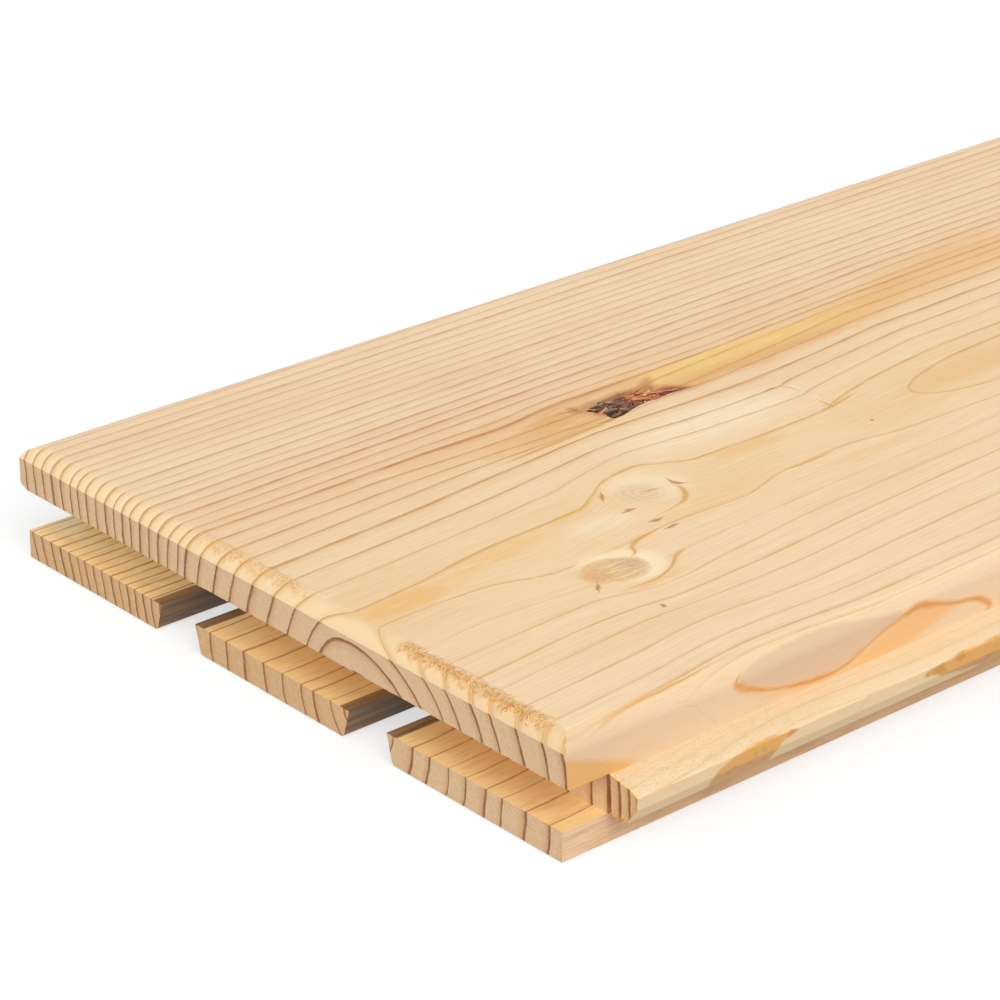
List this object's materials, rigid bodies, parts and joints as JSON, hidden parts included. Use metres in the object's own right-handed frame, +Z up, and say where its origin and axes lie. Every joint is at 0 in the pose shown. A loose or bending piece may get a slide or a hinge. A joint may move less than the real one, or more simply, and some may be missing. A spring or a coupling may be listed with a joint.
{
  "type": "tongue and groove floorboard",
  "caption": "Solid softwood floorboard with a tongue and groove along its long edges and across its ends, rounded top arrises and relief grooves under it.",
  "frame": {"origin": "under the middle of the board, in the plane of its underside, tongues included", "axes": "+X along the board from the grooved end to the tongued end, +Y across it from the tongued edge to the grooved edge, +Z up through the walking face"},
  "size_m": [1.208, 0.146, 0.02],
  "materials": {
    "softwood": "planed bare, no oil or lacquer"
  },
  "bodies": {
    "root": {"floorboard": "softwood"}
  },
  "joints": []
}
